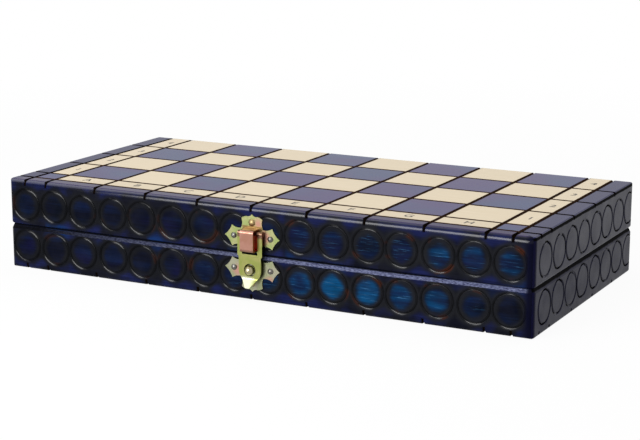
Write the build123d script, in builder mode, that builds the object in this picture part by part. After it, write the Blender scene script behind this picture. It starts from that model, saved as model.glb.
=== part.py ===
from build123d import *
from math import cos, sin, sqrt
import os

os.makedirs("parts", exist_ok=True)

# A folding chess box: two shallow trays, each closed by half of the chess board,
# hinged along one long edge and held shut by a hasp at the front.
# X runs along the box, +Y to the hinges, +Z up. The origin is under the middle of the whole box.

# Board, in millimetres
square = 36.0          # side of one square
files = 8              # squares along the box
ranks = 4              # squares across each half
notation = 15.5        # strip that carries the letters and numbers
border = 10.5          # outer strip at the front, the part of a rail that shows on the board face
end_border = 12.3      # the same at the two ends
fold_margin = 1.2      # from the last row of squares to the back face
board = 4.0            # thickness of a board panel
groove_width = 2.0     # V groove between two cells, as deep as half its width
notch_drop = 3.7       # how far each groove runs down the front and the back
end_notch_drop = 2.4   # and down the two ends

# Rails
half_height = 27.9     # height of one tray with its board
rail = 13.5            # thickness of a rail
edge_radius = 3.0      # round where the board face meets the front and the back
end_edge_radius = 1.2  # the same at the two ends
corner_radius = 4.0    # round of the upright corners
lid_seam_radius = 1.2  # round along the lid's side of the seam
seam_bevel = 3.1       # height of the bevel along the base's side of the seam
seam_bevel_cut = 1.5   # how far that bevel cuts in
glue_line = 0.05       # between two rails at a mitre

# Rings burned into the front and the sides
ring_diameter = 19.0   # to the middle of the burned line
ring_line = 1.9        # width of the burned line
ring_depth = 0.5
front_ring_pitch = 21.2
side_ring_pitch = 20.7
side_ring_start = 18.0  # from the front face to the first ring on a side
lid_ring_drop = 15.2    # from the board face to the ring centres
base_ring_drop = 14.5
ring_wander = 0.5       # the rings are set by hand and stray this far along the box
ring_rise = 0.3         # and this far up and down
stray_turn = 2.4        # radians between one ring's direction of stray and the next

# Hinges
hinge_inset = 60.0     # from the end of the box to the middle of a hinge
hinge_length = 30.0
leaf_depth = 9.5       # from the axis to the far edge of a leaf
leaf = 0.9             # thickness of a leaf
leaf_gap = 0.3         # between the two closed leaves
leaf_corner = 1.2
knuckle_radius = 1.9
hinge_pin_radius = 0.9
pin_head_radius = 1.5
pin_head = 0.5
pin_clearance = 0.05
knuckle_gap = 0.25     # between neighbouring knuckles
knuckle_clearance = 0.35
fold_gap = 0.4         # between the two back faces when the box is opened flat
mortise_clearance = 0.1

# Hinge screws
screw_radius = 1.0
screw_head_radius = 1.9
screw_length = 9.0
screw_point = 2.0
screw_spacing = 18.0
screw_set_back = 5.6   # from the hinge axis
recess_width = 0.5
recess_depth = 0.6
hole_clearance = 0.04

# Latch
latch_x = 1.3          # the latch sits a little to one side of the middle groove
lid_latch_rise = 9.8   # from the seam to the nail line of the lid plate
base_latch_rise = 9.0  # and of the base plate
plate = 0.6
plate_half_width = 18.0
plate_tip = 13.5       # from the nail line to the point of the end lobe
plate_skirt = 8.6      # from the nail line to the straight edge near the seam
ridge_x = 3.6          # half width of the end lobe's raised middle
ridge_drop = 1.4       # below the point
ridge_swell = 0.25
shoulder_x = 6.9       # half width of the end lobe
shoulder_drop = 2.8    # below the point
waist_x = 7.2          # inner corner between the end lobe and a side lobe
waist_y = 4.9
lobe_x = 13.2          # outer corners of a side lobe
lobe_half_height = 6.2
scallop = 0.65         # how far the hollow arcs of the outline cut in
skirt_x = 6.4
skirt_slope = 1.0      # height of the slope between a side lobe and the skirt
side_nail_x = 12.0
end_nail_rise = 8.5
nail_radius = 0.7
nail_length = 9.0
nail_point = 2.1
nail_head_radius = 1.75
nail_head = 1.2
nail_rim = 0.3         # upright edge under the dome of a nail head
end_nail_head_radius = 2.1
staple_width = 8.6
staple_height = 13.0
staple_reach = 7.3     # from the wood to the front of the staple
staple_rise = 5.2      # top of the staple above the nail line
staple_sheet = 0.9
staple_radius = 1.7
staple_tab = 5.0
tab_clearance = 0.05
bar_radius = 1.35      # rolled top edge of the hasp
bar_clearance = 0.35
hasp_width = 16.1
window_width = 10.1
window_gap = 1.8       # from the foot of the staple to the lower edge of the window
strap_width = 14.5
strap_neck = 0.8       # height of the shoulder between the rails and the strap
hasp_sheet = 0.9
hasp_lift = 2.0        # between the plates and the back of the hasp
lip_width = 9.6
lip_length = 5.2
lip_angle = 36.0       # outward lean of the lip
lip_tip = 0.7          # width that the lip would narrow to just below its end
lip_bend = 1.6         # inner radius of the bend above the lip
eye_clearance = 0.9
knob_radius = 2.9
knob_neck_radius = 1.7
knob_shank_radius = 1.2
knob_length = 8.0
knob_neck = 0.65       # from the plate to the ball

# Worked out from the above
length = files * square + 2 * (notation + end_border)
width = ranks * square + notation + border + fold_margin
hinge_offset = fold_gap / 2
back_reach = hinge_offset + knuckle_radius
front_y = -(width - staple_reach + back_reach) / 2
back_y = front_y + width
seam_z = half_height
axis_y = back_y + hinge_offset
hinge_xs = [hinge_inset - length / 2, length / 2 - hinge_inset]
file_lines = [square * (i - files / 2) for i in range(files + 1)]
x_lines = [file_lines[0] - notation] + file_lines + [file_lines[-1] + notation]
y_lines = [front_y + border] + [front_y + border + notation + square * i for i in range(ranks)]
groove_side = groove_width / sqrt(2)
front_rings = int(length / front_ring_pitch)
side_rings = int((width - side_ring_start) / side_ring_pitch) + 1
latch_rise = {"base": base_latch_rise, "lid": lid_latch_rise}
nail_line_z = {"base": seam_z - base_latch_rise, "lid": seam_z + lid_latch_rise}
mirror_plane = Plane.XY.offset(seam_z)
beyond = 1.0           # how far a cutter reaches past the face it enters by
ring_round = (ring_line**2 / 4 + ring_depth**2) / (2 * ring_depth)

screw_places = [
    (x + side * screw_spacing / 2, axis_y - screw_set_back) for x in hinge_xs for side in (-1, 1)
]


def save(piece, name):
    """Names a finished piece and writes it."""
    piece.label = name
    export_step(piece, f"parts/{name}.step")


def stray(index, row):
    """How far one hand-set ring lies from its place, along the box and up it."""
    direction = stray_turn * index + row
    return ring_wander * sin(direction), ring_rise * cos(direction)


def cut_grooves():
    """Cuts the cell grooves of a board face at z = 0 out of the piece being built."""
    for x in x_lines:
        with BuildLine() as run:
            FilletPolyline(
                (x, back_y, notch_drop),
                (x, back_y, 0),
                (x, front_y, 0),
                (x, front_y, notch_drop),
                radius=edge_radius,
            )
        with BuildSketch(Plane(origin=run.line @ 0, z_dir=run.line % 0)) as vee:
            Rectangle(groove_side, groove_side, rotation=45)
        sweep(sections=vee.sketch, path=run.line, mode=Mode.SUBTRACT)
    for y in y_lines:
        with BuildLine() as run:
            FilletPolyline(
                (-length / 2, y, end_notch_drop),
                (-length / 2, y, 0),
                (length / 2, y, 0),
                (length / 2, y, end_notch_drop),
                radius=end_edge_radius,
            )
        with BuildSketch(Plane(origin=run.line @ 0, z_dir=run.line % 0)) as vee:
            Rectangle(groove_side, groove_side, rotation=45)
        sweep(sections=vee.sketch, path=run.line, mode=Mode.SUBTRACT)


# One burned ring, standing on the face it is pressed into: Z points out of the wood.
with BuildPart() as ring_cutter:
    with BuildSketch(Plane.XZ):
        with Locations((ring_diameter / 2, ring_round - ring_depth)):
            Circle(ring_round)
    revolve(axis=Axis.Z)


# What rounding takes off the long edges of a board face, all along the box.
with BuildPart() as round_over:
    with BuildSketch(Plane.YZ):
        for y, inward in ((front_y, 1), (back_y, -1)):
            reach = edge_radius + beyond
            with Locations((y + inward * (edge_radius - reach / 2), edge_radius - reach / 2)):
                Rectangle(reach, reach)
            with Locations((y + inward * edge_radius, edge_radius)):
                Circle(edge_radius, mode=Mode.SUBTRACT)
    extrude(amount=length / 2 + beyond, both=True)


def make_tray(half):
    """A whole tray before it is sawn into rails and board: board face at z = 0, seam above."""
    with BuildPart() as tray:
        with BuildSketch() as footprint:
            with Locations((0, (front_y + back_y) / 2)):
                Rectangle(length, width)
            fillet(footprint.vertices(), corner_radius)
        extrude(amount=half_height)
        seam_face = tray.faces().sort_by(Axis.Z)[-1]
        if half == "base":
            chamfer(seam_face.outer_wire().edges(), seam_bevel_cut, seam_bevel, reference=seam_face)
        else:
            fillet(seam_face.outer_wire().edges(), lid_seam_radius)
        fillet(tray.faces().sort_by(Axis.Z)[0].outer_wire().edges(), end_edge_radius)
        add(round_over.part, mode=Mode.SUBTRACT)
    return tray.part


trays = {half: make_tray(half) for half in ("base", "lid")}

# The space that the board panel fills: between the borders, and over the back rail to the fold.
with BuildPart() as board_space:
    with BuildSketch():
        with Locations((0, (front_y + border + back_y + beyond) / 2)):
            Rectangle(length - 2 * end_border, width - border + beyond)
    extrude(amount=board)


def corner(side_x, side_y, inset, runs):
    """A point beside the mitre line of one corner, inset from the two outer faces. It lies half
    the glue line off that line, on the side of the rail that runs along "x" or "y"."""
    trim = glue_line / sqrt(2)
    end_x = length / 2 - inset - (trim if runs == "x" else 0)
    end_y = inset + (trim if runs == "y" else 0)
    return side_x * end_x, front_y + end_y if side_y < 0 else back_y - end_y


def make_blank(half, over_board, beside_board=None):
    """A rail before its cuts, from its outlines over the board panel and beside it."""
    with BuildPart() as blank:
        with BuildSketch(Plane.XY.offset(board)):
            with BuildLine():
                Polyline(*over_board, close=True)
            make_face()
        extrude(amount=half_height - board)
        if beside_board:
            with BuildSketch():
                with BuildLine():
                    Polyline(*beside_board, close=True)
                make_face()
            extrude(amount=board)
        add(trays[half], mode=Mode.INTERSECT)
    return blank.part


def make_board(half):
    """The half board with its V grooves."""
    with BuildPart() as panel:
        add(trays[half])
        add(board_space.part, mode=Mode.INTERSECT)
        cut_grooves()
    return panel.part


def make_front_rail(half, row, ring_drop):
    """The front rail, with rings, grooves and the holes for the latch."""
    nail_z = half_height - latch_rise[half]
    holes = [(latch_x - side_nail_x, nail_z), (latch_x + side_nail_x, nail_z)]
    holes.append((latch_x, nail_z - end_nail_rise))
    outer = [corner(-1, -1, -beyond, "x"), corner(1, -1, -beyond, "x")]
    with BuildPart() as piece:
        add(
            make_blank(
                half,
                over_board=outer + [corner(1, -1, rail, "x"), corner(-1, -1, rail, "x")],
                beside_board=outer + [corner(1, -1, border, "x"), corner(-1, -1, border, "x")],
            )
        )
        cut_grooves()
        for i in range(front_rings):
            along, up = stray(i, row)
            x = front_ring_pitch * (i - (front_rings - 1) / 2) + along
            with Locations(Plane(origin=(x, front_y, ring_drop + up), z_dir=(0, -1, 0))):
                add(ring_cutter.part, mode=Mode.SUBTRACT)
        with BuildSketch(Plane.XZ.offset(-front_y)):
            with Locations(*holes):
                Circle(nail_radius + hole_clearance)
        extrude(amount=-nail_length - hole_clearance, mode=Mode.SUBTRACT)
        if half == "base":
            with BuildSketch(Plane.XZ.offset(-front_y)):
                with Locations((latch_x, nail_z)):
                    Circle(knob_shank_radius + hole_clearance)
            extrude(amount=-knob_length - hole_clearance, mode=Mode.SUBTRACT)
    return piece.part


def make_side_rail(half, side, row, ring_drop):
    """A side rail: side is -1 on the left and 1 on the right. Beside the board it runs to the fold."""
    outer = [corner(side, -1, -beyond, "y"), corner(side, 1, -beyond, "y")]
    board_x = side * (length / 2 - end_border)
    mitre_end = corner(side, -1, border, "y")
    beside_board = [(board_x, back_y + beyond), (board_x, mitre_end[1]), mitre_end]
    with BuildPart() as piece:
        add(
            make_blank(
                half,
                over_board=outer + [corner(side, 1, rail, "y"), corner(side, -1, rail, "y")],
                beside_board=outer + beside_board,
            )
        )
        cut_grooves()
        for i in range(side_rings):
            along, up = stray(i, row)
            y = front_y + side_ring_start + side_ring_pitch * i + along
            with Locations(Plane(origin=(side * length / 2, y, ring_drop + up), z_dir=(side, 0, 0))):
                add(ring_cutter.part, mode=Mode.SUBTRACT)
    return piece.part


def make_back_rail(half):
    """The back rail, with a mortise, a knuckle recess and two screw holes for each hinge."""
    outer = [corner(-1, 1, -beyond, "x"), corner(1, 1, -beyond, "x")]
    with BuildPart() as piece:
        add(make_blank(half, over_board=outer + [corner(1, 1, rail, "x"), corner(-1, 1, rail, "x")]))
        leaf_back = seam_z - leaf_gap / 2 - leaf
        far_edge = axis_y - leaf_depth - mortise_clearance
        with BuildSketch(Plane.XY.offset(leaf_back)):
            for x in hinge_xs:
                with Locations((x, (far_edge + back_y + beyond) / 2)):
                    Rectangle(hinge_length + 2 * mortise_clearance, back_y + beyond - far_edge)
        extrude(amount=half_height, mode=Mode.SUBTRACT)
        recess_length = hinge_length + 2 * (pin_head + knuckle_clearance)
        for x in hinge_xs:
            with BuildSketch(Plane.YZ.offset(x - recess_length / 2)):
                with Locations((axis_y, seam_z)):
                    Circle(knuckle_radius + knuckle_clearance)
            extrude(amount=recess_length, mode=Mode.SUBTRACT)
        with BuildSketch(Plane.XY.offset(leaf_back)):
            with Locations(*screw_places):
                Circle(screw_radius + hole_clearance)
        extrude(amount=-screw_length, mode=Mode.SUBTRACT)
    return piece.part


# The base rests on its board. The lid is the same tray turned over onto it.
for row, (half, ring_drop) in enumerate((("base", base_ring_drop), ("lid", lid_ring_drop))):
    pieces = {
        "board": make_board(half),
        "front_rail": make_front_rail(half, row, ring_drop),
        "left_rail": make_side_rail(half, -1, row + 2, ring_drop),
        "right_rail": make_side_rail(half, 1, row + 4, ring_drop),
        "back_rail": make_back_rail(half),
    }
    for name, piece in pieces.items():
        with BuildPart() as placed:
            if half == "base":
                add(piece)
            else:
                mirror(piece, about=mirror_plane)
        save(placed.part, f"{half}_{name}")


# A countersunk hinge screw: its head is level with Z = 0 and its point is below.
def make_screw(clearance=0.0):
    """The screw, or with a clearance the hole that it fills."""
    with BuildPart() as piece:
        with BuildSketch(Plane.XZ):
            with BuildLine():
                Polyline(
                    (0, 0),
                    (screw_head_radius + clearance, 0),
                    (screw_radius + clearance, screw_radius - screw_head_radius),
                    (screw_radius + clearance, screw_point - screw_length),
                    (0, -screw_length),
                    close=True,
                )
            make_face()
        revolve(axis=Axis.Z)
        if not clearance:
            with BuildSketch():
                Rectangle(2 * screw_radius, recess_width)
                Rectangle(recess_width, 2 * screw_radius)
            extrude(amount=-recess_depth, mode=Mode.SUBTRACT)
    return piece.part


def screw_seats(half, x_middle=None):
    """Places of the screw heads of one half, or of the hinge at x_middle alone."""
    side = 1 if half == "base" else -1
    face_z = seam_z - side * leaf_gap / 2
    near = [p for p in screw_places if x_middle is None or abs(p[0] - x_middle) < hinge_length / 2]
    return [Plane(origin=(x, y, face_z), z_dir=(0, 0, side)) for x, y in near]


# Hinges: the lid leaf has the middle knuckle and the base leaf the two outer ones.
knuckle_length = (hinge_length - 2 * knuckle_gap) / 3
outer_knuckle = (hinge_length - knuckle_length) / 2
knuckle_places = {"base": [-outer_knuckle, outer_knuckle], "lid": [0]}


def make_leaf(x_middle, half):
    """One leaf of the hinge at x_middle, in its closed place."""
    other = "lid" if half == "base" else "base"
    leaf_low = seam_z + leaf_gap / 2 if half == "lid" else seam_z - leaf_gap / 2 - leaf
    with BuildPart() as piece:
        with BuildSketch(Plane.XY.offset(leaf_low)) as outline:
            with Locations((x_middle, axis_y - leaf_depth / 2)):
                Rectangle(hinge_length, leaf_depth)
            fillet(outline.vertices().group_by(Axis.Y)[0], leaf_corner)
        extrude(amount=leaf)
        for shift in knuckle_places[half]:
            with BuildSketch(Plane.YZ.offset(x_middle + shift - knuckle_length / 2)):
                with Locations((axis_y, seam_z)):
                    Circle(knuckle_radius)
            extrude(amount=knuckle_length)
        for shift in knuckle_places[other]:
            with BuildSketch(Plane.YZ.offset(x_middle + shift - knuckle_length / 2 - knuckle_gap)):
                with Locations((axis_y, seam_z)):
                    Circle(knuckle_radius + knuckle_clearance)
            extrude(amount=knuckle_length + 2 * knuckle_gap, mode=Mode.SUBTRACT)
        with BuildSketch(Plane.YZ.offset(x_middle - hinge_length / 2)):
            with Locations((axis_y, seam_z)):
                Circle(hinge_pin_radius + pin_clearance)
        extrude(amount=hinge_length, mode=Mode.SUBTRACT)
        with Locations(*screw_seats(half, x_middle)):
            add(make_screw(hole_clearance), mode=Mode.SUBTRACT)
    return piece.part


def make_hinge_pin(x_middle):
    """The pin, with a flat head at each end of the knuckles."""
    with BuildPart() as piece:
        with BuildSketch(Plane.YZ.offset(x_middle - hinge_length / 2 - pin_head)):
            with Locations((axis_y, seam_z)):
                Circle(hinge_pin_radius)
        extrude(amount=hinge_length + 2 * pin_head)
        for start in (x_middle - hinge_length / 2 - pin_head, x_middle + hinge_length / 2):
            with BuildSketch(Plane.YZ.offset(start)):
                with Locations((axis_y, seam_z)):
                    Circle(pin_head_radius)
            extrude(amount=pin_head)
    return piece.part


for x_middle, side in zip(hinge_xs, ("left", "right")):
    save(make_leaf(x_middle, "lid"), f"{side}_hinge_lid_leaf")
    save(make_leaf(x_middle, "base"), f"{side}_hinge_base_leaf")
    save(make_hinge_pin(x_middle), f"{side}_hinge_pin")

for half in ("base", "lid"):
    with BuildPart() as hinge_screws:
        with Locations(*screw_seats(half)):
            add(make_screw())
    save(hinge_screws.part, f"{half}_hinge_screws")


# Latch. A plate's own frame has its origin on the wood at the nail line, local Y away from
# the seam and local Z out of the wood.
def latch_plane(half):
    """The frame of the lid plate or of the base plate."""
    side = 1 if half == "lid" else -1
    return Plane(origin=(latch_x, front_y, nail_line_z[half]), x_dir=(side, 0, 0), z_dir=(0, -1, 0))


def make_plate(half):
    """A stamped plate: one pointed lobe away from the seam and one to each side."""
    ridge = (ridge_x, plate_tip - ridge_drop)
    corners = [
        (shoulder_x, plate_tip - shoulder_drop),
        (waist_x, waist_y),
        (lobe_x, lobe_half_height),
        (plate_half_width, 0),
        (lobe_x, -lobe_half_height),
        (waist_x, -waist_y),
    ]
    skirt = [(skirt_x, -waist_y - skirt_slope), (skirt_x, -plate_skirt), (0, -plate_skirt)]
    with BuildPart() as piece:
        with BuildSketch(latch_plane(half)):
            with BuildLine():
                SagittaArc((0, plate_tip), ridge, -scallop)
                SagittaArc(ridge, corners[0], ridge_swell)
                for start, end in zip(corners, corners[1:]):
                    SagittaArc(start, end, -scallop)
                Polyline(corners[-1], *skirt)
                mirror(about=Plane.YZ)
            make_face()
            with Locations((-side_nail_x, 0), (side_nail_x, 0), (0, end_nail_rise)):
                Circle(nail_radius + hole_clearance, mode=Mode.SUBTRACT)
            if half == "base":
                Circle(knob_shank_radius + hole_clearance, mode=Mode.SUBTRACT)
            else:
                with Locations(*staple_legs):
                    Rectangle(
                        staple_tab + 2 * tab_clearance,
                        staple_sheet + 2 * tab_clearance,
                        mode=Mode.SUBTRACT,
                    )
        extrude(amount=plate)
    return piece.part


# Middles of the staple's two legs in the lid plate's frame.
staple_foot = staple_rise - staple_height
staple_legs = [(0, staple_rise - staple_sheet / 2), (0, staple_foot + staple_sheet / 2)]

save(make_plate("lid"), "latch_lid_plate")
save(make_plate("base"), "latch_base_plate")


def side_plane(reach_right):
    """A plane across the latch: local X out of the wood, local Y up from the lid's nail line."""
    origin = (latch_x + reach_right, front_y, nail_line_z["lid"])
    return Plane(origin=origin, x_dir=(0, -1, 0), z_dir=(-1, 0, 0))


with BuildPart() as latch_staple:
    staple_middle = (staple_rise + staple_foot) / 2
    with BuildSketch(side_plane(staple_width / 2)) as bent:
        with Locations(((plate + staple_reach) / 2, staple_middle)):
            Rectangle(staple_reach - plate, staple_height)
        fillet(bent.vertices().group_by(Axis.X)[-1], staple_radius)
    extrude(amount=staple_width)
    with BuildSketch(side_plane(staple_width / 2)) as hollow:
        with Locations(((staple_reach - staple_sheet) / 2, staple_middle)):
            Rectangle(staple_reach - staple_sheet, staple_height - 2 * staple_sheet)
        fillet(hollow.vertices().group_by(Axis.X)[-1], staple_radius - staple_sheet)
    extrude(amount=staple_width, mode=Mode.SUBTRACT)
    with BuildSketch(latch_plane("lid")):
        with Locations(*staple_legs):
            Rectangle(staple_tab, staple_sheet)
    extrude(amount=plate)
save(latch_staple.part, "latch_staple")

# The hasp hangs from a bar that turns inside the top of the staple.
pivot_out = plate + bar_clearance + bar_radius
pivot_up = staple_rise - staple_sheet - bar_clearance - bar_radius
knob_up = -base_latch_rise - lid_latch_rise
hasp_back = plate + hasp_lift
hasp_front = hasp_back + hasp_sheet
window_foot = staple_foot - window_gap
strap_end = knob_up - sqrt((strap_width / 2) ** 2 - (lip_width / 2) ** 2)
eye_radius = knob_radius + eye_clearance
bend_up = knob_up - eye_radius - hasp_sheet
lean = Vector(0, -1).rotate(Axis.Z, lip_angle)
bend_out = Vector(-1, 0).rotate(Axis.Z, lip_angle)
half_out = Vector(-1, 0).rotate(Axis.Z, lip_angle / 2)

with BuildPart() as latch_hasp:
    bend_middle = Vector(hasp_front + lip_bend, bend_up)
    outer_bend = lip_bend + hasp_sheet
    with BuildSketch(side_plane(hasp_width / 2)):
        with BuildLine():
            front_end = bend_middle + bend_out * lip_bend
            back_end = bend_middle + bend_out * outer_bend
            Line((hasp_front, pivot_up), (hasp_front, bend_up))
            ThreePointArc((hasp_front, bend_up), bend_middle + half_out * lip_bend, front_end)
            Line(front_end, front_end + lean * lip_length)
            Line(front_end + lean * lip_length, back_end + lean * lip_length)
            Line(back_end + lean * lip_length, back_end)
            ThreePointArc(back_end, bend_middle + half_out * outer_bend, (hasp_back, bend_up))
            Line((hasp_back, bend_up), (hasp_back, pivot_up))
            Line((hasp_back, pivot_up), (hasp_front, pivot_up))
        make_face()
    extrude(amount=hasp_width)
    lip_foot = (back_end + lean * lip_length).Y - beyond
    with BuildSketch(latch_plane("lid")) as face_on:
        with BuildLine():
            Polyline(
                (0, pivot_up),
                (hasp_width / 2, pivot_up),
                (hasp_width / 2, window_foot - strap_neck),
                (strap_width / 2, window_foot - 2 * strap_neck),
                (strap_width / 2, knob_up),
                (0, knob_up),
            )
            mirror(about=Plane.YZ)
        make_face()
        with Locations((0, knob_up)):
            Circle(strap_width / 2)
        with BuildLine():
            Polyline((0, strap_end), (lip_width / 2, strap_end), (lip_tip / 2, lip_foot), (0, lip_foot))
            mirror(about=Plane.YZ)
        make_face()
        with Locations((0, (pivot_up + window_foot) / 2)):
            Rectangle(window_width, pivot_up - window_foot, mode=Mode.SUBTRACT)
        with Locations((0, knob_up)):
            Circle(eye_radius, mode=Mode.SUBTRACT)
    extrude(amount=2 * staple_reach, mode=Mode.INTERSECT)
    with BuildSketch(side_plane(hasp_width / 2)):
        with Locations((pivot_out, pivot_up)):
            Circle(bar_radius)
    extrude(amount=hasp_width)
save(latch_hasp.part, "latch_hasp")

# The knob is riveted through the base plate and reaches into the rail.
neck_top = plate + knob_neck
knob_centre = neck_top + sqrt(knob_radius**2 - knob_neck_radius**2)
with BuildPart() as latch_knob:
    with BuildSketch(Plane.XZ):
        with BuildLine():
            ThreePointArc(
                (0, knob_centre + knob_radius), (knob_radius, knob_centre), (knob_neck_radius, neck_top)
            )
            Polyline(
                (knob_neck_radius, neck_top),
                (knob_neck_radius, plate),
                (knob_shank_radius, plate),
                (knob_shank_radius, -knob_length),
                (0, -knob_length),
                (0, knob_centre + knob_radius),
            )
        make_face()
    revolve(axis=Axis.Z)
with BuildPart() as placed_knob:
    with Locations(latch_plane("base")):
        add(latch_knob.part)
save(placed_knob.part, "latch_knob")


def make_nail(head_radius):
    """A dome headed nail: the underside of its head is at Z = 0 and its point is below."""
    with BuildPart() as piece:
        with BuildSketch(Plane.XZ):
            with BuildLine():
                TangentArc((0, nail_head), (head_radius, nail_rim), tangent=(1, 0))
                Polyline(
                    (head_radius, nail_rim),
                    (head_radius, 0),
                    (nail_radius, 0),
                    (nail_radius, nail_point - nail_length),
                    (0, -nail_length),
                    (0, nail_head),
                )
            make_face()
        revolve(axis=Axis.Z)
    return piece.part


def save_nails(half, places, head_radius, name):
    """Drives one nail through a plate at each place and writes them as one node."""
    plane = latch_plane(half)
    with BuildPart() as nails:
        with Locations(*[plane.location * Pos(x, y, plate) for x, y in places]):
            add(make_nail(head_radius))
    save(nails.part, name)


side_nails = [(-side_nail_x, 0), (side_nail_x, 0)]
save_nails("lid", side_nails, nail_head_radius, "latch_lid_side_nails")
save_nails("lid", [(0, end_nail_rise)], end_nail_head_radius, "latch_lid_top_nail")
save_nails("base", side_nails, nail_head_radius, "latch_base_side_nails")
save_nails("base", [(0, end_nail_rise)], nail_head_radius, "latch_base_foot_nail")
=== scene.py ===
import math

import bmesh
import bpy
from mathutils import Matrix, Quaternion, Vector


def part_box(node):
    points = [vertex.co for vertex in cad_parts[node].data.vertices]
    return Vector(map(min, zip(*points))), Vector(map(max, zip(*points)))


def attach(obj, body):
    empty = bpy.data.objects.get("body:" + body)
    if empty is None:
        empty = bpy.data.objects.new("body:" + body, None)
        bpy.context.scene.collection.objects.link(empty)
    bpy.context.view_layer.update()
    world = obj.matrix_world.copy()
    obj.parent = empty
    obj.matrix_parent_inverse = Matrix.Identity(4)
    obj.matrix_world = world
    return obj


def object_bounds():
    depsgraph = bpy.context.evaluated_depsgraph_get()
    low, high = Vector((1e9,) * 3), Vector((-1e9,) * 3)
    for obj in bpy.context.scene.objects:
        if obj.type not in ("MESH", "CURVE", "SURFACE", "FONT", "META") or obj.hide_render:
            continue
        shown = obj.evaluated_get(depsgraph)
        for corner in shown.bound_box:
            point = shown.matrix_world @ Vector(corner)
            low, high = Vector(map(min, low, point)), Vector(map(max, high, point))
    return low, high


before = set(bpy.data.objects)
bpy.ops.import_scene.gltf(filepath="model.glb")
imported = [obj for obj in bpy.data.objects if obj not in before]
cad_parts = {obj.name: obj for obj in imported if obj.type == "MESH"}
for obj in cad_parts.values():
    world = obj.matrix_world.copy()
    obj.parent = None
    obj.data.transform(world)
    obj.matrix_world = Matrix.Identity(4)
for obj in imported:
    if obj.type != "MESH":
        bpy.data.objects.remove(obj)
cad_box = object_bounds()

MM = 0.001

# The board, in millimetres, in the frame of the box: X along the box, +Y to the hinges, +Z up
SQUARE = 36.0
NOTATION = 15.5        # strip that carries the letters and numbers
BORDER = 10.5          # outer strip at the front, which is the edge of the front rail
END_BORDER = 12.3      # the same at the two ends
RAIL = 13.5            # thickness of the rails
GROOVE = 2.0           # width of the burned V grooves
NOTCH = 3.7            # how far a groove runs down the front and the back
END_NOTCH = 2.4        # and down the two ends
EDGE_ROUND = 3.0       # rounding of the board's front and back edges
SEAM_BEVEL = 3.1       # height of the bevel along the base's side of the seam
FILES = "ABCDEFGH"
RANKS = 4              # on each half
HALF_FIELD = len(FILES) / 2 * SQUARE

# The burned rings
RING_RADIUS = 9.5      # to the middle of the burned line
RING_LINE = 1.9        # width of the burned line
FRONT_PITCH = 21.2     # from ring to ring along the front
SIDE_PITCH = 20.7      # and along the sides
SIDE_START = 18.0      # from the front face to the first ring on a side
RING_DROP = {"base": 14.5, "lid": 15.2}   # from the board face to the ring centres
RING_WANDER = 0.5      # the rings are set by hand and stray this far along their row
RING_RISE = 0.3        # and this far up and down
STRAY_TURN = 2.4       # radians between one ring's direction of stray and the next

# The front's finish changes from its left end to its right end
LEFT_END = -170.0
RIGHT_END = 170.0

# What the frame gives
HALF_LENGTH = cad_box[1].x / MM
TOP_Z = cad_box[1].z / MM
SEAM_Z = TOP_Z / 2
FRONT_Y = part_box("base_front_rail")[0].y / MM
BACK_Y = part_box("base_back_rail")[1].y / MM
RANK_Y = FRONT_Y + BORDER + NOTATION
FRONT_RINGS = int(2 * HALF_LENGTH / FRONT_PITCH)
SIDE_RINGS = int((BACK_Y - FRONT_Y - SIDE_START) / SIDE_PITCH) + 1
BOARD_FACE = {"base": (0.0, 1.0), "lid": (TOP_Z, -1.0)}   # its height, and the way into the wood


def rgb(hex_colour):
    """An sRGB hex colour as the linear colour that Blender wants."""
    parts = [int(hex_colour[i : i + 2], 16) / 255 for i in (1, 3, 5)]
    return [c / 12.92 if c <= 0.04045 else ((c + 0.055) / 1.055) ** 2.4 for c in parts] + [1.0]


class Finish:
    """A material or a world being made. place, x, y and z are the object's own coordinates in
    millimetres."""

    def __init__(self, name, kind="materials"):
        self.block = getattr(bpy.data, kind).new(name)
        self.block.use_nodes = True
        self.block.node_tree.nodes.clear()
        metres = self.add("TexCoord").outputs["Object"]
        self.place = self.add("VectorMath", metres, (1 / MM, 1 / MM, 1 / MM), operation="MULTIPLY")
        self.x, self.y, self.z = self.add("SeparateXYZ", self.place).outputs

    def add(self, kind, *inputs, **settings):
        """Adds a node with its settings. The inputs fill its sockets in order, or by name from a dict: a
        node or a socket is linked in, None leaves a socket alone, and a hex colour or anything else becomes
        its value."""
        tree = self.block.node_tree
        node = tree.nodes.new("ShaderNode" + kind)
        for name, value in settings.items():
            setattr(node, name, value)
        named = inputs[0] if inputs and isinstance(inputs[0], dict) else None
        sockets = [node.inputs[n] for n in named] if named else [s for s in node.inputs if s.enabled]
        for socket, value in zip(sockets, named.values() if named else inputs):
            if isinstance(value, bpy.types.Node):
                value = next(s for s in value.outputs if s.enabled)
            if isinstance(value, bpy.types.NodeSocket):
                tree.links.new(value, socket)
            elif value is not None:
                socket.default_value = rgb(value) if isinstance(value, str) else value
        return node

    def streaks(self, along, length, width, detail=4.0, shift=0.0):
        """Noise drawn out along X (0) or Y (1): one streak is about length by width millimetres."""
        scale = [1 / width] * 3
        scale[along] = 1 / length
        stretched = self.add("Mapping", self.place, (shift, 2 * shift, 3 * shift), None, scale)
        return self.add("TexNoise", {"Vector": stretched, "Scale": 1.0, "Detail": detail}).outputs["Fac"]

    def spots(self, size, detail=2.0, shift=0.0):
        """Noise whose spots are about size millimetres across."""
        moved = self.add("Mapping", self.place, (shift, shift, shift))
        return self.add("TexNoise", {"Vector": moved, "Scale": 1 / size, "Detail": detail}).outputs["Fac"]

    def surface(self, **values):
        """The Principled shader that ends the material; _ in a name stands for a space."""
        shader = self.add("BsdfPrincipled", {name.replace("_", " "): v for name, v in values.items()})
        self.add("OutputMaterial", shader)
        return self.block


# Masks and distances that the wood pieces share

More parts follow.
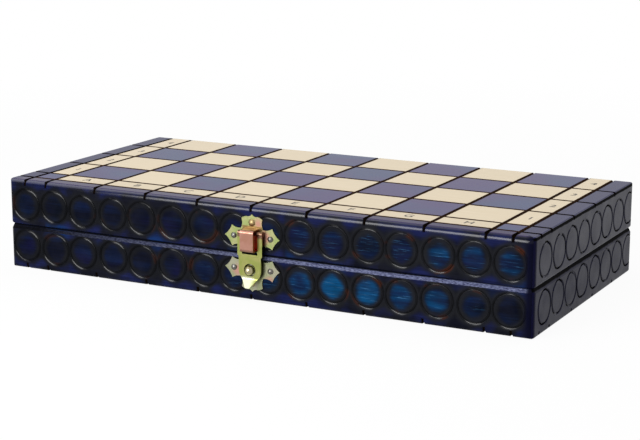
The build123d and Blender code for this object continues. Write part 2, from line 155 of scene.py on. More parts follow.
def groove_distance(m):
    """Distance to the middle of the nearest groove, along or across the board."""
    across = m.add("Math", m.x, operation="ABSOLUTE")
    from_files = m.add("Math", across, SQUARE / 2, operation="PINGPONG")
    from_edge = m.add("Math", across, HALF_LENGTH - END_BORDER, operation="SUBTRACT")
    from_edge = m.add("Math", from_edge, operation="ABSOLUTE")
    nearest_x = m.add("Math", from_files, from_edge, operation="MINIMUM")
    up = m.add("Math", m.y, RANK_Y, operation="SUBTRACT")
    from_ranks = m.add("Math", up, SQUARE / 2, operation="PINGPONG")
    from_edge = m.add("Math", up, NOTATION, operation="ADD")
    from_edge = m.add("Math", from_edge, operation="ABSOLUTE")
    nearest_y = m.add("Math", from_ranks, from_edge, operation="MINIMUM")
    return m.add("Math", nearest_x, nearest_y, operation="MINIMUM")


def depth_in_wood(m, half):
    """Distance below the board face of a half."""
    face, way = BOARD_FACE[half]
    return m.add("Math", m.z, way, -way * face, operation="MULTIPLY_ADD")


def groove_burn(m, depth, notch):
    """1 in the burned grooves of the board face, a little past their edges, and in the floor of their
    notches, which run down the sides as far as notch."""
    ragged = m.add("Math", m.spots(2.2, detail=3.0), 0.5, groove_distance(m), operation="MULTIPLY_ADD")
    spread = m.add("MapRange", depth, 0.4, 1.2, 0.35, -0.3)
    ragged = m.add("Math", ragged, spread, operation="SUBTRACT")
    line = m.add("MapRange", ragged, GROOVE / 2 + 0.45, GROOVE / 2 + 0.05, interpolation_type="SMOOTHSTEP")
    shallow = m.add("MapRange", depth, notch + 0.3, notch - 0.5, interpolation_type="SMOOTHSTEP")
    return m.add("Math", line, shallow, operation="MULTIPLY")


def inside_box(m, depth):
    """1 on the faces that look into the tray."""
    ease = 0.1
    across = m.add("Math", m.x, operation="ABSOLUTE")
    checks = [
        m.add("Math", across, HALF_LENGTH - RAIL + ease, operation="LESS_THAN"),
        m.add("Math", m.y, FRONT_Y + RAIL - ease, operation="GREATER_THAN"),
        m.add("Math", m.y, BACK_Y - RAIL + ease, operation="LESS_THAN"),
        m.add("Math", depth, GROOVE, operation="GREATER_THAN"),
    ]
    inside = checks[0]
    for check in checks[1:]:
        inside = m.add("Math", inside, check, operation="MULTIPLY")
    return inside


def dark_cells(m):
    """1 in the dark cells of the board panel: every other square, and the cells at its corners."""
    file = m.add("Math", m.x, SQUARE, operation="DIVIDE")
    file = m.add("Math", file, operation="FLOOR")
    up = m.add("Math", m.y, RANK_Y, operation="SUBTRACT")
    rank = m.add("Math", up, SQUARE, operation="DIVIDE")
    rank = m.add("Math", rank, operation="FLOOR")
    count = m.add("Math", file, rank, operation="ADD")
    odd = m.add("Math", count, 1.0, operation="PINGPONG")
    across = m.add("Math", m.x, operation="ABSOLUTE")
    in_files = m.add("Math", across, HALF_FIELD, operation="LESS_THAN")
    in_ranks = m.add("Math", up, 0.0, operation="GREATER_THAN")
    either = m.add("Math", in_files, in_ranks, operation="MAXIMUM")
    both = m.add("Math", in_files, in_ranks, operation="MULTIPLY")
    corners = m.add("Math", 1.0, either, operation="SUBTRACT")
    dark = m.add("Math", both, odd, operation="SUBTRACT", use_clamp=True)
    return m.add("Math", dark, corners, operation="MAXIMUM")


def ring_field(m, along, depth, half, row, first, pitch, count):
    """Distance to the nearest ring's line, distance to its centre, and its number, on one rail."""
    start = m.add("Math", along, first, operation="SUBTRACT")
    start = m.add("Math", start, pitch, operation="DIVIDE")
    start = m.add("Math", start, operation="FLOOR")
    found = []
    for neighbour in (0, 1):
        number = m.add("Math", start, neighbour, operation="ADD")
        number = m.add("Clamp", number, 0.0, count - 1.0)
        turn = m.add("Math", number, STRAY_TURN, float(row), operation="MULTIPLY_ADD")
        wander = m.add("Math", turn, operation="SINE")
        rise = m.add("Math", turn, operation="COSINE")
        centre = m.add("Math", number, pitch, first, operation="MULTIPLY_ADD")
        centre = m.add("Math", wander, RING_WANDER, centre, operation="MULTIPLY_ADD")
        height = m.add("Math", rise, RING_RISE, RING_DROP[half], operation="MULTIPLY_ADD")
        centre = m.add("CombineXYZ", centre, height)
        here = m.add("CombineXYZ", along, depth)
        radius = m.add("VectorMath", here, centre, operation="DISTANCE").outputs["Value"]
        found.append((radius, number))
    (radius_a, number_a), (radius_b, number_b) = found
    radius = m.add("Math", radius_a, radius_b, operation="MINIMUM")
    second = m.add("Math", radius_b, radius_a, operation="LESS_THAN")
    number = m.add("Mix", second, number_a, number_b)
    from_line = m.add("Math", radius, RING_RADIUS, operation="SUBTRACT")
    from_line = m.add("Math", from_line, operation="ABSOLUTE")
    return from_line, radius, number


# Materials

# Stains, each from its darker to its lighter streaks
BACK_NAVY = ("#0c1028", "#15255c")
SEAM_NAVY = ("#0c1230", "#16204c")

# Thin clear lacquer with a satin shine, over stained wood that has no shine of its own
LACQUER = {"Coat_IOR": 1.35, "Coat_Roughness": 0.16, "Specular_IOR_Level": 0.0}


def birch_fibres(m, along, row, width=0.8):
    """The fibres of a rail. Birch's own are a tenth of a millimetre wide or less, and these are drawn
    coarser, so that they show."""
    return m.streaks(along, 24.0, width, detail=5.0, shift=7.0 * row + 2.0)


def bare_birch(m, along):
    """Planed birch with no finish: pale, matt, with fine straight grain."""
    grain = m.streaks(along, 60.0, 1.3, detail=6.0, shift=3.0)
    return m.add("Mix", grain, "#c9ac7e", "#e2cda4", data_type="RGBA")


def finish_rail(m, along, depth, colour, coat, fibres):
    """Adds what every rail has: plain navy stain on the face that meets the other half, the groove burns,
    bare wood on the faces inside the box, and open pores."""
    rim = m.add("MapRange", depth, SEAM_Z - 0.2, SEAM_Z - 0.1)
    navy = m.add("Mix", fibres, *SEAM_NAVY, data_type="RGBA")
    colour = m.add("Mix", rim, colour, navy, data_type="RGBA")
    coat = m.add("Mix", rim, coat, 0.3)
    burn = groove_burn(m, depth, END_NOTCH if along == 1 else NOTCH)
    inside = inside_box(m, depth)
    colour = m.add("Mix", burn, colour, "#120c08", data_type="RGBA")
    colour = m.add("Mix", inside, colour, bare_birch(m, along), data_type="RGBA")
    bare = m.add("Math", burn, inside, operation="MAXIMUM")
    coat = m.add("Mix", bare, coat, 0.0)
    bump = m.add("Bump", {"Strength": 0.35, "Distance": 0.06 * MM, "Height": fibres})
    gloss = {"Coat_Weight": coat, "Coat_Normal": bump, **LACQUER}
    return m.surface(Base_Color=colour, Roughness=0.6, Normal=bump, **gloss)


def front_rail_finish(name, half, row, clearest, reach, clear):
    """Stained birch scorched by the hot ring stamp, under thin lacquer. It looks near black around the
    rings, indigo where the scorch ends, and navy to clear blue inside the rings: by clear at X = clearest,
    fading out over reach. Gloss is painted onto the tops and feet of the rings only, where the lamp's glints
    fall, so that they shine there."""
    m = Finish(name)
    depth = depth_in_wood(m, half)
    fibres = birch_fibres(m, 0, row, width=0.7)
    first = -FRONT_PITCH * (FRONT_RINGS - 1) / 2
    from_line, radius, number = ring_field(m, m.x, depth, half, row, first, FRONT_PITCH, FRONT_RINGS)

    # Stain inside the rings
    away = m.add("Math", m.x, clearest, operation="SUBTRACT")
    away = m.add("Math", away, operation="ABSOLUTE")
    near = m.add("MapRange", away, reach, 0.0, 0.0, clear, interpolation_type="SMOOTHSTEP")
    wide = m.streaks(0, 50.0, 6.0, detail=2.0, shift=5.0 * row + 11.0)
    soaked = m.add("MapRange", wide, 0.3, 0.7, -0.15, 0.35)
    soaked = m.add("Math", soaked, near, operation="ADD")
    chance = m.add("TexWhiteNoise", {"W": number}, noise_dimensions="1D").outputs["Value"]
    soaked = m.add("Math", chance, 0.16, soaked, operation="MULTIPLY_ADD")
    blue = m.add("Mix", m.add("MapRange", soaked, 0.1, 0.6), "#050818", "#081634", data_type="RGBA")
    blue = m.add("Mix", m.add("MapRange", soaked, 0.6, 1.1), blue, "#05406a", data_type="RGBA")
    cloud = m.spots(26.0, shift=9.0 + row)
    greenish = m.add("Mix", 1.0, blue, "#70c8c0", data_type="RGBA", blend_type="MULTIPLY")
    blue = m.add("Mix", m.add("MapRange", cloud, 0.53, 0.66, 0.0, 0.7), blue, greenish, data_type="RGBA")
    blue = m.add("Mix", m.add("MapRange", cloud, 0.47, 0.32, 0.0, 0.8), blue, "#0b0c2c", data_type="RGBA")
    threads = m.add("MapRange", m.streaks(0, 11.0, 0.32, detail=2.0, shift=40.0), 0.64, 0.72, 0.0, 1.2)
    threads = m.add("Math", threads, near, operation="MULTIPLY")
    blue = m.add("Mix", threads, blue, "#3c6e98", data_type="RGBA")

    # Scorched ground between the rings
    middle = m.add("Math", depth, RING_DROP[half], operation="SUBTRACT")
    middle = m.add("Math", middle, operation="ABSOLUTE")
    rim = m.add("MapRange", middle, 5.5, 10.5, interpolation_type="SMOOTHSTEP")
    patch = m.add("MapRange", m.spots(15.0, shift=4.0 + row), 0.4, 0.6, 0.1, 1.0)
    patch = m.add("Math", patch, rim, operation="MULTIPLY")
    ground = m.add("Mix", patch, "#0b0c11", "#12183e", data_type="RGBA")
    seam_side = m.add("MapRange", depth, RING_DROP[half] + 5.0, RING_DROP[half] + 12.0)
    thin = m.add("MapRange", m.spots(24.0, shift=33.0 + row), 0.52, 0.64)
    thin = m.add("Math", thin, seam_side, operation="MULTIPLY")
    ground = m.add("Mix", thin, ground, "#0a244e", data_type="RGBA")
    melted = m.add("Math", m.spots(8.0, shift=row), 5.0, radius, operation="MULTIPLY_ADD")
    disc = m.add("MapRange", melted, 11.4, 7.0, interpolation_type="SMOOTHSTEP")
    colour = m.add("Mix", disc, ground, blue, data_type="RGBA")
    streaked = m.add("MapRange", fibres, 0.35, 0.75, 0.75, 1.35)
    colour = m.add("VectorMath", colour, streaked, operation="SCALE")

    # The burned line of the rings, and the brown edge of its scorch
    far = m.add("MapRange", m.spots(11.0, shift=row), 0.3, 0.7, 2.4, 6.0)
    scorch = m.add("MapRange", from_line, far, 0.6, 0.0, 0.9, interpolation_type="SMOOTHSTEP")
    soot = m.add("Mix", m.add("MapRange", m.x, LEFT_END, 100.0), "#0d0e12", "#191a1e", data_type="RGBA")
    colour = m.add("Mix", scorch, colour, soot, data_type="RGBA")
    singed = m.add("MapRange", m.spots(16.0, shift=5.0 + row), 0.59, 0.66)
    singed = m.add("Math", singed, m.add("MapRange", from_line, 1.8, 0.5), operation="MULTIPLY")
    singed = m.add("Math", singed, m.add("MapRange", m.x, -120.0, 150.0, 0.25, 0.9), operation="MULTIPLY")
    colour = m.add("Mix", singed, colour, "#432010", data_type="RGBA")
    ragged = m.add("Math", m.spots(2.2, detail=3.0), 0.6, from_line, operation="MULTIPLY_ADD")
    line = m.add("MapRange", ragged, 0.85, 0.4, 0.0, 0.8, interpolation_type="SMOOTHSTEP")
    colour = m.add("Mix", line, colour, "#040404", data_type="RGBA")

    # Lacquer: dull in the rings but for their tops and feet, where gloss is painted in where the lamp's
    # glints fall, slanting with the lamp along the rail
    coat = m.add("MapRange", m.spots(9.0, shift=2.0), 0.3, 0.7, 0.12, 0.3)
    across = m.add("Math", m.x, first - FRONT_PITCH / 2, operation="SUBTRACT")
    across = m.add("Math", across, FRONT_PITCH, operation="FLOORED_MODULO")
    across = m.add("Math", across, FRONT_PITCH / 2, operation="SUBTRACT")
    rise = m.add("Math", depth, RING_DROP[half], operation="SUBTRACT")
    rise = m.add("Math", rise, BOARD_FACE[half][1], operation="MULTIPLY")
    slant = m.add("MapRange", m.x, LEFT_END, RIGHT_END, 0.5, 0.0)
    lean = m.add("Math", across, slant, rise, operation="MULTIPLY_ADD")
    lean = m.add("Math", lean, operation="ABSOLUTE")
    painted_glint_gloss = m.add("MapRange", lean, 0.88 * RING_RADIUS, 1.03 * RING_RADIUS, interpolation_type="SMOOTHSTEP")
    filled = m.add("MapRange", m.spots(7.0, shift=3.0), 0.38, 0.55, 0.25, 1.0)
    painted_glint_gloss = m.add("Math", filled, painted_glint_gloss, operation="MULTIPLY")
    painted_glint_gloss = m.add("Math", painted_glint_gloss, m.add("Math", coat, 0.6, operation="MULTIPLY"), operation="MAXIMUM")
    pressed = m.add("MapRange", from_line, RING_LINE / 2 + 0.15, RING_LINE / 2 - 0.1)
    coat = m.add("Mix", pressed, coat, painted_glint_gloss)

    if half == "lid":
        # The rounded top edge: a painted pale sheen above, reaching further down to the left and fading to
        # the right, then dark, then a line of lamp light below
        rounded = m.add("MapRange", depth, EDGE_ROUND + 0.6, EDGE_ROUND + 0.1)
        lit = m.add("MapRange", m.x, -130.0, -60.0, 0.15, 1.0)
        lit = m.add("Math", lit, m.add("MapRange", depth, 1.2, 1.9, 0.15, 1.0), operation="MULTIPLY")
        coat = m.add("Mix", rounded, coat, lit)
        left_most = m.add("MapRange", m.x, -60.0, -130.0, 1.05, 2.0)
        painted_edge_sheen = m.add("MapRange", depth, left_most, 0.5)
        painted_edge_sheen = m.add("Math", painted_edge_sheen, m.add("MapRange", m.x, 0.0, 150.0, 1.0, 0.15), operation="MULTIPLY")
        colour = m.add("Mix", painted_edge_sheen, colour, "#5a5a68", data_type="RGBA")
        top = m.add("MapRange", depth, 0.4, 0.1)
        colour = m.add("Mix", top, colour, "#2a1d4c", data_type="RGBA")
        coat = m.add("Mix", top, coat, m.add("MapRange", m.x, 30.0, 165.0, 0.64, 0.46))
    else:
        # The bevel at the seam, planed after the stain: pale with a painted sheen that fades to the left,
        # and a painted shadow in the gap above it, rising to the right
        rise = m.add("MapRange", m.x, 85.0, 140.0, 0.0, 0.6)
        level = m.add("Math", depth, rise, operation="SUBTRACT")
        painted_gap_shadow = m.add("MapRange", level, SEAM_Z - 1.3, SEAM_Z - 0.9)
        colour = m.add("Mix", painted_gap_shadow, colour, "#06070c", data_type="RGBA")
        coat = m.add("Mix", painted_gap_shadow, coat, 0.04)
        bevel = m.add("MapRange", level, SEAM_Z - SEAM_BEVEL - 0.1, SEAM_Z - SEAM_BEVEL + 0.1)
        below_gap = m.add("MapRange", level, SEAM_Z - 0.85, SEAM_Z - 1.45)
        bevel = m.add("Math", bevel, below_gap, operation="MULTIPLY")
        speckle = m.add("MapRange", m.streaks(0, 1.6, 0.5, detail=3.0), 0.36, 0.64)
        planed_and_painted_sheen = m.add("Mix", speckle, "#2c2f4e", "#6a7090", data_type="RGBA")
        lit = m.add("MapRange", m.x, -150.0, 60.0, 0.02, 1.0)
        planed_and_painted_sheen = m.add("VectorMath", planed_and_painted_sheen, lit, operation="SCALE")
        colour = m.add("Mix", bevel, colour, planed_and_painted_sheen, data_type="RGBA")
        coat = m.add("Mix", bevel, coat, m.add("MapRange", lit, 0.0, 1.0, 0.12, 0.45))

    # The right corner, darker where it turns to the side: painted shade, with its lacquer dulled as well
    corner = m.add("MapRange", m.x, HALF_LENGTH - 6.0, HALF_LENGTH - 3.0)
    colour = m.add("Mix", corner, colour, "#0a0b20", data_type="RGBA")
    coat = m.add("Mix", corner, coat, m.add("Math", coat, 0.4, operation="MULTIPLY"))
    return finish_rail(m, 0, depth, colour, coat, fibres)


def side_rail_finish(name, half, row, even):
    """The same wood and rings at the ends of the box, scorched nearly black all over. Its even lacquer, of
    weight even, gives the grey sheen that these faces show at a slant."""
    m = Finish(name)
    depth = depth_in_wood(m, half)
    fibres = birch_fibres(m, 1, row)
    from_line = ring_field(m, m.y, depth, half, row, FRONT_Y + SIDE_START, SIDE_PITCH, SIDE_RINGS)[0]
    ragged = m.add("Math", m.spots(2.2, detail=3.0), 0.7, from_line, operation="MULTIPLY_ADD")
    line = m.add("MapRange", ragged, 1.0, 0.7)
    line = m.add("Math", line, m.add("MapRange", m.spots(8.0, shift=row), 0.36, 0.46), operation="MULTIPLY")
    colour = m.add("Mix", fibres, "#0c0c28", "#18183e", data_type="RGBA")
    colour = m.add("Mix", line, colour, "#060505", data_type="RGBA")
    coat = m.add("MapRange", m.spots(12.0, shift=row), 0.3, 0.7, even - 0.08, even + 0.08)
    coat = m.add("Mix", line, coat, 0.0)
    corner = m.add("MapRange", m.y, FRONT_Y + 3.5, FRONT_Y + 2.0, 1.0, 0.2)
    coat = m.add("Math", coat, corner, operation="MULTIPLY")

    # The stained strip of the board face, and a painted dark band of shade on the rounded edge below it on
    # the lid, and along the seam on the base
    top = m.add("MapRange", depth, 0.5, 0.3)
    stained = m.add("Mix", fibres, "#1f1e42", "#28295c", data_type="RGBA")
    colour = m.add("Mix", top, colour, stained, data_type="RGBA")
    coat = m.add("Mix", top, coat, 0.48)
    wobble = m.add("Math", m.spots(6.0), 1.0, depth, operation="MULTIPLY_ADD")
    if half == "lid":
        below = m.add("MapRange", depth, 0.3, 0.6)
        above = m.add("MapRange", wobble, 2.8, 2.4)
        edge = m.add("Math", below, above, operation="MULTIPLY")
        short_of_back = m.add("MapRange", m.y, BACK_Y - 2.0, BACK_Y - 4.0)
        edge = m.add("Math", edge, short_of_back, operation="MULTIPLY")
    else:
        edge = m.add("MapRange", wobble, SEAM_Z - 2.0, SEAM_Z - 1.4)
    colour = m.add("Mix", edge, colour, "#060507", data_type="RGBA")
    coat = m.add("Mix", edge, coat, 0.05)
    return finish_rail(m, 1, depth, colour, coat, fibres)


def back_rail_finish(name, half, row):
    """The plain back: birch stained dark blue with darker bands along the grain, and lacquered to a soft
    sheen."""
    m = Finish(name)
    depth = depth_in_wood(m, half)
    fibres = birch_fibres(m, 0, row)
    bands = m.add("MapRange", m.streaks(0, 130.0, 7.0, detail=2.0, shift=3.0 * row), 0.35, 0.65)
    colour = m.add("Mix", bands, *BACK_NAVY, data_type="RGBA")
    colour = m.add("VectorMath", colour, m.add("MapRange", fibres, 0.3, 0.75, 0.7, 1.3), operation="SCALE")
    return finish_rail(m, 0, depth, colour, 0.5, fibres)


def board_panel(name, half):
    """Birch in cream and violet-stained cells parted by burned grooves. An even satin lacquer greys the dark
    cells when they are seen at a slant. The strip in front of the squares, where hands hold the box, is a
    little darker, and the back edge is stained navy like the rail behind it."""
    m = Finish(name)
    depth = depth_in_wood(m, half)
    fibres = m.streaks(0, 30.0, 0.9, detail=5.0, shift=31.0)
    hue = m.add("MapRange", m.spots(45.0, shift=17.0), 0.4, 0.6)
    stain = m.add("Mix", hue, "#321e62", "#1e3266", data_type="RGBA")
    stain = m.add("VectorMath", stain, m.add("MapRange", fibres, 0.3, 0.75, 0.85, 1.15), operation="SCALE")
    cream = m.add("Mix", m.streaks(0, 70.0, 2.0, detail=6.0), "#ddcaa6", "#e7d6b8", data_type="RGBA")
    handled = m.add("MapRange", m.y, RANK_Y - 4.0, RANK_Y, 0.93, 1.0)
    cream = m.add("VectorMath", cream, handled, operation="SCALE")
    colour = m.add("Mix", dark_cells(m), cream, stain, data_type="RGBA")
    burn = groove_burn(m, depth, NOTCH)
    inside = inside_box(m, depth)
    colour = m.add("Mix", burn, colour, "#35241a", data_type="RGBA")
    back_edge = m.add("MapRange", m.y, BACK_Y - 0.75, BACK_Y - 0.6)
    navy = m.add("Mix", fibres, *BACK_NAVY, data_type="RGBA")
    colour = m.add("Mix", back_edge, colour, navy, data_type="RGBA")
    colour = m.add("Mix", inside, colour, bare_birch(m, 0), data_type="RGBA")
    bare = m.add("Math", burn, inside, operation="MAXIMUM")
    coat = m.add("Mix", bare, 0.6, 0.0)
    bump = m.add("Bump", {"Strength": 0.2, "Distance": 0.04 * MM, "Height": fibres})
    gloss = {"Coat_Weight": coat, "Coat_Normal": bump, **LACQUER}
    return m.surface(Base_Color=colour, Roughness=0.6, Normal=bump, **gloss)


def plated_metal(name, first, second, third, roughness, shift=0.0, rosy=(), painted_light_zones=()):
    """Thin plating on pressed steel. Its film shifts between the first two colours over a few millimetres,
    so it looks iridescent. It takes the third around the rosy places, each (x, z, reach), and the zones,
    each (mask, colour), are painted shade, painted highlights and painted reflections, each in a colour of
    its own."""
    m = Finish(name)
    film = m.add("MapRange", m.spots(6.0, shift=shift), 0.42, 0.58)
    colour = m.add("Mix", film, first, second, data_type="RGBA")
    here = m.add("CombineXYZ", m.x, 0.0, m.z)
    for x, z, reach in rosy:
        far = m.add("VectorMath", here, (x, 0.0, z), operation="DISTANCE").outputs["Value"]
        far = m.add("Math", m.spots(3.0, shift=shift), 4.0, far, operation="MULTIPLY_ADD")
        close = m.add("MapRange", far, reach + 3.5, reach + 0.5)
        colour = m.add("Mix", close, colour, third, data_type="RGBA")
    for mask, tone in painted_light_zones:
        colour = m.add("Mix", mask(m), colour, tone, data_type="RGBA")
    bump = m.add("Bump", {"Strength": 0.25, "Distance": 0.04 * MM, "Height": m.spots(1.2)})
    return m.surface(Base_Color=colour, Metallic=1.0, Roughness=roughness, Normal=bump)


STAPLE_LOW, STAPLE_HIGH = [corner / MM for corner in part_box("latch_staple")]
HASP_LOW, HASP_HIGH = [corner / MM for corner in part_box("latch_hasp")]
LIP_HIGHLIGHT_HEIGHT = 6.4    # how far the painted highlight on the lip reaches up the hasp
BAR_SHADE_HEIGHT = 3.6     # how far the painted brown shade of the turned bar reaches down it
FADE = 0.5             # half the width in which either ends


def within(m, value, low, high):
    """1 where a coordinate lies between two values."""
    above = m.add("Math", value, low, operation="GREATER_THAN")
    below = m.add("Math", value, high, operation="LESS_THAN")
    return m.add("Math", above, below, operation="MULTIPLY")


def behind_staple(m):
    """The lid plate inside the staple's loop, which takes a painted copper-red reflection of the staple."""
    across = within(m, m.x, STAPLE_LOW.x - 0.4, STAPLE_HIGH.x + 0.4)
    return m.add("Math", across, within(m, m.z, STAPLE_LOW.z, STAPLE_HIGH.z - 1.0), operation="MULTIPLY")


def above_staple(m):
    """The lid plate where the staple leaves it, which takes a painted brown shade."""
    across = within(m, m.x, STAPLE_LOW.x - 2.0, STAPLE_HIGH.x + 2.0)
    just_above = within(m, m.z, STAPLE_HIGH.z - 1.0, STAPLE_HIGH.z + 1.4)
    return m.add("Math", across, just_above, operation="MULTIPLY")


def inside_staple(m):
    """The faces inside the staple's bend, which take a painted red reflection of copper on copper."""
    inner = within(m, m.y, STAPLE_LOW.y + 0.5, STAPLE_HIGH.y)
    between = within(m, m.z, STAPLE_LOW.z + 0.5, STAPLE_HIGH.z - 0.5)
    return m.add("Math", inner, between, operation="MULTIPLY")


def hasp_bar(m):
    """The head of the hasp, where its bar turns in the staple, which takes a painted brown shade."""
    foot = HASP_HIGH.z - BAR_SHADE_HEIGHT
    return m.add("MapRange", m.z, foot - FADE, foot + FADE)


def hasp_lip(m):
    """The lip at the foot of the hasp, that the finger lifts, which takes a painted pale highlight that
    fades out to the right.
    """
    head = HASP_LOW.z + LIP_HIGHLIGHT_HEIGHT
    low = m.add("MapRange", m.z, head + FADE, head - FADE)
    return m.add("Math", low, m.add("MapRange", m.x, 5.0, 2.0), operation="MULTIPLY")


materials = {
    "lid_board": board_panel("stained_birch_board_lid", "lid"),
    "base_board": board_panel("stained_birch_board_base", "base"),
    "base_front_rail": front_rail_finish(
        "burned_birch_base_front", "base", 0, clearest=58.0, reach=115.0, clear=0.85,
    ),
    "lid_front_rail": front_rail_finish(
        "burned_birch_lid_front", "lid", 1, clearest=120.0, reach=200.0, clear=0.42,
    ),
}
for row, (half, even) in enumerate((("base", 0.4), ("lid", 0.53))):
    materials[f"{half}_left_rail"] = side_rail_finish(f"burned_birch_{half}_left", half, row + 2, even)
    materials[f"{half}_right_rail"] = side_rail_finish(f"burned_birch_{half}_right", half, row + 4, even)
    materials[f"{half}_back_rail"] = back_rail_finish(f"stained_birch_{half}_back", half, row + 6)

# Yellow zinc plate: greenish gold that turns rosy in places, and satin, with a painted copper-red reflection
# inside the staple's loop and a painted brown shade where the staple leaves the plate
materials["latch_lid_plate"] = plated_metal(
    "yellow_zinc_lid_plate", "#88925c", "#96966a", "#a67c6c", 0.32, shift=1.0,
    rosy=((9.0, 38.0, 4.0), (5.0, 46.0, 2.5)),
    painted_light_zones=((behind_staple, "#b86248"), (above_staple, "#76643e")),
)
materials["latch_base_plate"] = plated_metal(
    "yellow_zinc_base_plate", "#868a6a", "#92907c", "#a67f72", 0.32, shift=4.0,
    rosy=((-8.5, 17.5, 3.0), (12.5, 12.0, 3.0)),
)
# The same plate on the hasp: lime gold, with a painted brown shade on the turned bar and a painted pale
# highlight on the lip
materials["latch_hasp"] = plated_metal(
    "yellow_zinc_hasp", "#868c4c", "#929258", "#908c54", 0.3, shift=7.0,
    painted_light_zones=((hasp_bar, "#6e5444"), (hasp_lip, "#b4b69a")),
)
# Copper flash on the staple: dull pink outside, darker and redder inside the bend, where the red is a
# painted reflection of copper on copper
materials["latch_staple"] = plated_metal(
    "copper_flashed_staple", "#987062", "#906858", "#a07a64", 0.32, painted_light_zones=((inside_staple, "#c06a50"),),
)
# Turned brass: pale, smooth, with a sharp highlight and a dark rim
materials["latch_knob"] = plated_metal("turned_brass_knob", "#a09878", "#aca486", "#98906a", 0.18)
# Brassed nails: dull gold that hardly stands out from the plates
materials["latch_lid_top_nail"] = plated_metal("brassed_nail", "#8a7854", "#94825e", "#8a6c58", 0.42)
materials["latch_base_foot_nail"] = materials["latch_lid_top_nail"]
# Nickelled nails: grey, with a small bright highlight
materials["latch_lid_side_nails"] = plated_metal("nickelled_nails", "#6c6c68", "#625f5a", "#746e68", 0.36)
materials["latch_base_side_nails"] = materials["latch_lid_side_nails"]
# Brassed steel hinges: warm yellow and satin
hinge_steel = plated_metal("brassed_steel_hinge", "#b59a58", "#c0a866", "#a98c50", 0.32)
# The bare pins: bright grey steel
pin_steel = plated_metal("bare_steel_pin", "#b8b6b0", "#a8a6a0", "#bdb9ae", 0.25)
# Screws plated like the hinges, a little brighter
screw_steel = plated_metal("brassed_screw", "#b9a05e", "#a98f52", "#c4ad70", 0.3)
for side in ("left", "right"):
    materials[f"{side}_hinge_base_leaf"] = hinge_steel
    materials[f"{side}_hinge_lid_leaf"] = hinge_steel
    materials[f"{side}_hinge_pin"] = pin_steel
for half in ("base", "lid"):
    materials[f"{half}_hinge_screws"] = screw_steel
for node, material in materials.items():
    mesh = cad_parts[node].data
    mesh.materials.clear()
    mesh.materials.append(material)


# Letters and numbers

def ink_finish():
    """Stamped ink: dark grey brown and matt, thinner in spots."""
    m = Finish("stamped_ink")
    colour = m.add("Mix", m.spots(1.5), "#3a3128", "#241e19", data_type="RGBA")
    return m.surface(Base_Color=colour, Roughness=0.5, IOR=1.4)


LETTER_SIZE = 8.0      # size of the font
LETTER_SHIFT = 0.9     # the marks stand a little right of the middle of their cells
INK_THICKNESS = 0.04
INK_SPREAD = 0.1       # how far the ink runs past the outline of a letter
ink = ink_finish()


def stamp(text, half, x, y):
    """One character, upright for the player on the near side of its half."""
    face = BOARD_FACE[half][0]
    curve = bpy.data.curves.new(f"{half}_mark_{text}", "FONT")
    curve.body = text
    curve.size = LETTER_SIZE
    curve.align_x, curve.align_y = "CENTER", "CENTER"
    curve.extrude = INK_THICKNESS / 2
    curve.offset = INK_SPREAD
    holder = bpy.data.objects.new(curve.name, curve)
    mesh = bpy.data.meshes.new_from_object(holder)
    bpy.data.objects.remove(holder)
    turned = Matrix.Rotation(0 if half == "lid" else math.pi, 4, "Y")
    mesh.transform(Matrix.Scale(MM, 4) @ Matrix.Translation((x, y, face)) @ turned)
    mesh.materials.append(ink)
    side = "left" if x < -HALF_FIELD else "right" if x > HALF_FIELD else "front"
    piece = bpy.data.objects.new(f"{half}_{side}_mark_{text}", mesh)
    bpy.context.scene.collection.objects.link(piece)
    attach(piece, half)


for half, first_rank in (("lid", 1), ("base", 5)):
    for file, letter in enumerate(FILES):
        stamp(letter, half, SQUARE * (file + 0.5) - HALF_FIELD + LETTER_SHIFT, RANK_Y - NOTATION / 2)
    for rank in range(RANKS):
        number = first_rank + (rank if half == "lid" else RANKS - 1 - rank)
        for side_x in (-1, 1):
            x = side_x * (HALF_FIELD + NOTATION / 2) + LETTER_SHIFT
            stamp(str(number), half, x, RANK_Y + SQUARE * (rank + 0.5))


# Camera, floor and light

CAMERA_PLACE = Vector((469.75, FRONT_Y - 811.83, TOP_Z + 202.11)) * MM
CAMERA_AZIMUTH = 27.63      # degrees from the front, towards the right
CAMERA_HEIGHT = 12.65       # degrees above the level
CAMERA_ROLL = 0.07          # degrees
CAMERA_LENS = 94.73
CAMERA_SENSOR = 36.0

azimuth, height = math.radians(CAMERA_AZIMUTH), math.radians(CAMERA_HEIGHT)
toward = Vector((
    math.sin(azimuth) * math.cos(height),
    -math.cos(azimuth) * math.cos(height),
    math.sin(height),
))
camera = bpy.data.objects.new("camera", bpy.data.cameras.new("camera"))
camera.data.lens = CAMERA_LENS
camera.data.sensor_width = CAMERA_SENSOR
camera.location = CAMERA_PLACE
camera.rotation_mode = "QUATERNION"
roll = Quaternion((0, 0, 1), math.radians(CAMERA_ROLL))
camera.rotation_quaternion = (-toward).to_track_quat("-Z", "Y") @ roll
bpy.context.scene.collection.objects.link(camera)
bpy.context.scene.camera = camera


def shown_white(m):
    """1 for the rays by which the camera, gloss and glass see what is behind the object."""
    rays = m.add("LightPath")
    seen = m.add("Math", rays.outputs["Is Camera Ray"], rays.outputs["Is Glossy Ray"], operation="MAXIMUM")
    return m.add("Math", seen, rays.outputs["Is Transmission Ray"], operation="MAXIMUM")


FLOOR_REACH = 6.0           # metres from the middle to each edge


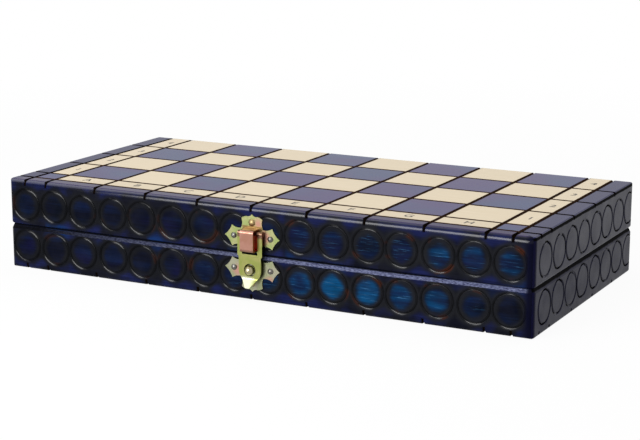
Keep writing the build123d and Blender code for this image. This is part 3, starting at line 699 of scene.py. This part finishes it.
def make_floor():
    """Seamless white paper: white to the camera and in reflections, with a soft shadow left on it. It isn't
    there for a camera below it."""
    m = Finish("white_paper")
    seen = shown_white(m)
    paper = m.add("Mix", seen, "#a8a8a8", "#f4f4f4", data_type="RGBA")
    paper = m.add("BsdfDiffuse", paper)
    white = m.add("Emission", {"Color": "#ffffff", "Strength": 1.0})
    far = m.add("VectorMath", m.place, operation="LENGTH").outputs["Value"]
    share = m.add("MapRange", far, 350.0, 900.0, 0.94, 1.0)
    share = m.add("Math", seen, share, operation="MULTIPLY")
    paper = m.add("MixShader", share, paper, white)
    below = m.add("NewGeometry").outputs["Backfacing"]
    m.add("OutputMaterial", m.add("MixShader", below, paper, m.add("BsdfTransparent")))
    mesh = bpy.data.meshes.new("floor")
    sheet = bmesh.new()
    bmesh.ops.create_grid(sheet, x_segments=1, y_segments=1, size=FLOOR_REACH)
    sheet.to_mesh(mesh)
    sheet.free()
    mesh.materials.append(m.block)
    floor = bpy.data.objects.new("floor", mesh)
    bpy.context.scene.collection.objects.link(floor)


make_floor()


def make_room(dim):
    """A pale room: white to the camera and in reflections, and as a light only dim times as strong, so that
    the softboxes model the shape."""
    room = Finish("pale_room", "worlds")
    strength = room.add("MapRange", shown_white(room), 0.0, 1.0, dim, 1.0)
    background = room.add("Background", {"Color": "#ffffff", "Strength": strength})
    room.add("OutputWorld", background)
    bpy.context.scene.world = room.block


make_room(dim=0.3)


def softbox(name, place, aim, size, radiance):
    """A soft studio light, placed and sized in metres. A radiance of 1 looks as bright as white paper does
    in full light."""
    light = bpy.data.lights.new(name, "AREA")
    light.shape = "RECTANGLE"
    light.size, light.size_y = size
    light.energy = radiance * math.pi * size[0] * size[1]
    lamp = bpy.data.objects.new(name, light)
    lamp.location = place
    lamp.rotation_mode = "QUATERNION"
    lamp.rotation_quaternion = (Vector(aim) - Vector(place)).to_track_quat("-Z", "Y")
    bpy.context.scene.collection.objects.link(lamp)


softbox("key", place=(-0.27, -0.98, 0.28), aim=(-0.1, -0.05, 0.03), size=(0.76, 0.52), radiance=9.6)
softbox("front_top", place=(-0.45, -0.52, 0.80), aim=(0, -0.05, 0.03), size=(0.42, 0.36), radiance=2.3)
softbox("overhead", place=(0.0, 0.2, 1.4), aim=(0, 0, 0), size=(1.3, 1.3), radiance=1.4)
softbox("fill", place=(0.7, 1.1, 0.9), aim=(0, 0, 0), size=(0.9, 0.9), radiance=1.5)

bpy.context.scene.view_settings.view_transform = "Standard"
